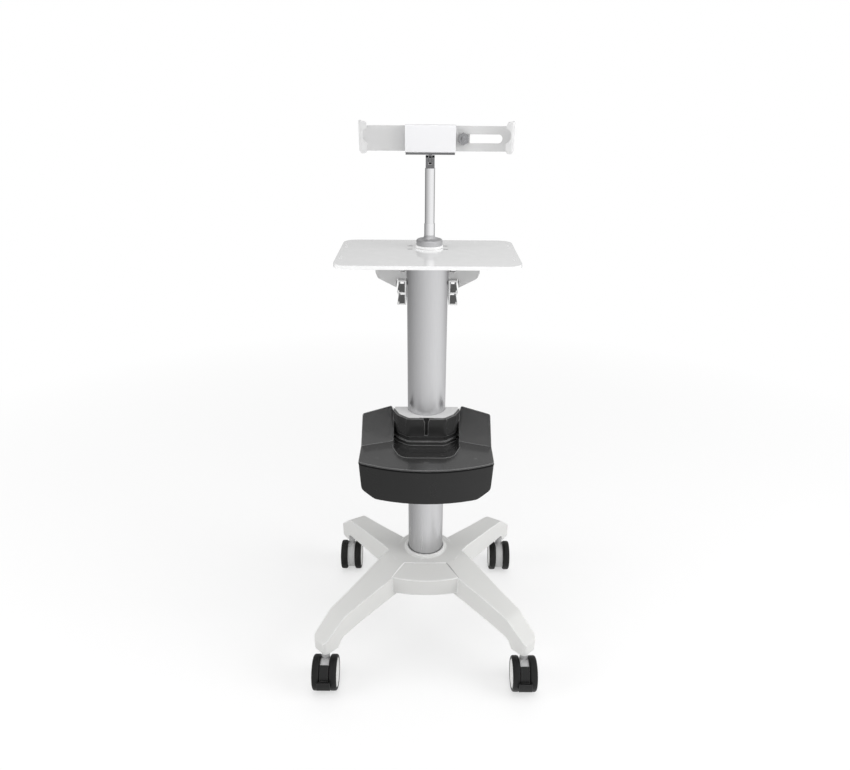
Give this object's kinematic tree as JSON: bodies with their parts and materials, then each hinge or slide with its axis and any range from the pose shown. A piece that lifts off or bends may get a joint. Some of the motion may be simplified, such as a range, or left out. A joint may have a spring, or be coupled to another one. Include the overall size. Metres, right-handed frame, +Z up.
{
  "type": "mobile ultrasound roll stand",
  "caption": "Rolling stand for a portable ultrasound unit: a cross base on braked casters, a round column, a tray, a cable box and a clamping tablet holder on a post.",
  "frame": {"origin": "on the floor, below the middle of the outline", "axes": "+X to the right seen from the front, +Y to the back, +Z up along the column"},
  "size_m": [0.4732, 0.4965, 1.0852],
  "materials": {
    "base_paint": "fine satin warm grey-white powder coat",
    "bracket_paint": "satin grey powder coat",
    "tray_paint": "glossy light grey paint",
    "column_silver": "satin anodised silver",
    "rail_aluminium": "satin extruded",
    "steel": "zinc plated",
    "dark_steel": "darkened steel",
    "polished_steel": "polished",
    "flange_metal": "satin turned",
    "white_plastic": "satin white moulding",
    "holder_white": "satin white paint",
    "arm_metal": "satin light grey paint",
    "box_black": "glossy black moulding",
    "box_black_low": "semi-gloss black moulding",
    "caster_grey": "pale grey moulding",
    "tyre_black": "smooth black tread",
    "hub_white": "pale moulded disc",
    "pedal_black": "black moulded pedal"
  },
  "bodies": {
    "stand": {"base_casting": "base_paint", "caster_stems": "steel", "column_tube": "column_silver", "column_plug": "steel", "column_bolts": "steel", "tray_bracket": "bracket_paint", "tray_plate": "tray_paint", "tray_screws": "steel", "rail_left": "rail_aluminium", "rail_right": "rail_aluminium", "rail_screws": "dark_steel", "box_collar": "white_plastic", "collar_strap": "white_plastic", "collar_screws": "steel", "box_cover": "box_black", "box_pan": "box_black_low", "box_screws": "dark_steel", "post_pad": "white_plastic", "post_flange": "flange_metal", "post_tube": "polished_steel", "post_bolt": "steel"},
    "swivel_fork": {"knuckle_fork": "dark_steel", "knuckle_pin": "steel"},
    "holder": {"knuckle_tongue": "steel", "holder_sleeve": "holder_white", "left_arm": "arm_metal", "clamp_bolt": "polished_steel"},
    "sliding_arm": {"right_arm": "arm_metal"},
    "clamp_nut": {"clamp_nut": "polished_steel"},
    "front_left_caster": {"front_left_housing": "caster_grey", "front_left_axle": "steel"},
    "front_left_wheel_left": {"front_left_tyre_left": "tyre_black", "front_left_hub_left": "hub_white"},
    "front_left_wheel_right": {"front_left_tyre_right": "tyre_black", "front_left_hub_right": "hub_white"},
    "front_left_pedal": {"front_left_pedal": "pedal_black"},
    "front_right_caster": {"front_right_housing": "caster_grey", "front_right_axle": "steel"},
    "front_right_wheel_left": {"front_right_tyre_left": "tyre_black", "front_right_hub_left": "hub_white"},
    "front_right_wheel_right": {"front_right_tyre_right": "tyre_black", "front_right_hub_right": "hub_white"},
    "front_right_pedal": {"front_right_pedal": "pedal_black"},
    "rear_left_caster": {"rear_left_housing": "caster_grey", "rear_left_axle": "steel"},
    "rear_left_wheel_left": {"rear_left_tyre_left": "tyre_black", "rear_left_hub_left": "hub_white"},
    "rear_left_wheel_right": {"rear_left_tyre_right": "tyre_black", "rear_left_hub_right": "hub_white"},
    "rear_right_caster": {"rear_right_housing": "caster_grey", "rear_right_axle": "steel"},
    "rear_right_wheel_left": {"rear_right_tyre_left": "tyre_black", "rear_right_hub_left": "hub_white"},
    "rear_right_wheel_right": {"rear_right_tyre_right": "tyre_black", "rear_right_hub_right": "hub_white"}
  },
  "joints": [
    {"name": "holder_swivel", "type": "hinge", "parent": "stand", "child": "swivel_fork", "pos_m": [0.003, 0.02972, 1.0105], "axis": [0, 0, 1], "continuous": true},
    {"name": "holder_tilt", "type": "hinge", "parent": "swivel_fork", "child": "holder", "pos_m": [0.003, 0.02972, 1.0235], "axis": [1, 0, 0], "range_deg": [-45, 45]},
    {"name": "arm_slide", "type": "slide", "parent": "holder", "child": "sliding_arm", "axis": [1, 0, 0], "range_m": [-0.053, 0]},
    {"name": "clamp_nut_turn", "type": "hinge", "parent": "holder", "child": "clamp_nut", "pos_m": [0.06, 0.03152, 1.05715], "axis": [0, -1, 0], "continuous": true},
    {"name": "front_left_swivel", "type": "hinge", "parent": "stand", "child": "front_left_caster", "pos_m": [-0.21, -0.18628, 0.092], "axis": [0, 0, 1], "continuous": true},
    {"name": "front_left_roll_left", "type": "hinge", "parent": "front_left_caster", "child": "front_left_wheel_left", "pos_m": [-0.228, -0.20328, 0.0375], "axis": [1, 0, 0], "continuous": true},
    {"name": "front_left_roll_right", "type": "hinge", "parent": "front_left_caster", "child": "front_left_wheel_right", "pos_m": [-0.192, -0.20328, 0.0375], "axis": [1, 0, 0], "continuous": true},
    {"name": "front_left_pedal_press", "type": "hinge", "parent": "front_left_caster", "child": "front_left_pedal", "pos_m": [-0.21, -0.20328, 0.0375], "axis": [1, 0, 0], "range_deg": [0, 15]},
    {"name": "front_right_swivel", "type": "hinge", "parent": "stand", "child": "front_right_caster", "pos_m": [0.21, -0.18628, 0.092], "axis": [0, 0, 1], "continuous": true},
    {"name": "front_right_roll_left", "type": "hinge", "parent": "front_right_caster", "child": "front_right_wheel_left", "pos_m": [0.192, -0.20328, 0.0375], "axis": [1, 0, 0], "continuous": true},
    {"name": "front_right_roll_right", "type": "hinge", "parent": "front_right_caster", "child": "front_right_wheel_right", "pos_m": [0.228, -0.20328, 0.0375], "axis": [1, 0, 0], "continuous": true},
    {"name": "front_right_pedal_press", "type": "hinge", "parent": "front_right_caster", "child": "front_right_pedal", "pos_m": [0.21, -0.20328, 0.0375], "axis": [1, 0, 0], "range_deg": [0, 15]},
    {"name": "rear_left_swivel", "type": "hinge", "parent": "stand", "child": "rear_left_caster", "pos_m": [-0.194, 0.22772, 0.092], "axis": [0, 0, 1], "continuous": true},
    {"name": "rear_left_roll_left", "type": "hinge", "parent": "rear_left_caster", "child": "rear_left_wheel_left", "pos_m": [-0.212, 0.21072, 0.0375], "axis": [1, 0, 0], "continuous": true},
    {"name": "rear_left_roll_right", "type": "hinge", "parent": "rear_left_caster", "child": "rear_left_wheel_right", "pos_m": [-0.176, 0.21072, 0.0375], "axis": [1, 0, 0], "continuous": true},
    {"name": "rear_right_swivel", "type": "hinge", "parent": "stand", "child": "rear_right_caster", "pos_m": [0.194, 0.22772, 0.092], "axis": [0, 0, 1], "continuous": true},
    {"name": "rear_right_roll_left", "type": "hinge", "parent": "rear_right_caster", "child": "rear_right_wheel_left", "pos_m": [0.176, 0.21072, 0.0375], "axis": [1, 0, 0], "continuous": true},
    {"name": "rear_right_roll_right", "type": "hinge", "parent": "rear_right_caster", "child": "rear_right_wheel_right", "pos_m": [0.212, 0.21072, 0.0375], "axis": [1, 0, 0], "continuous": true}
  ]
}
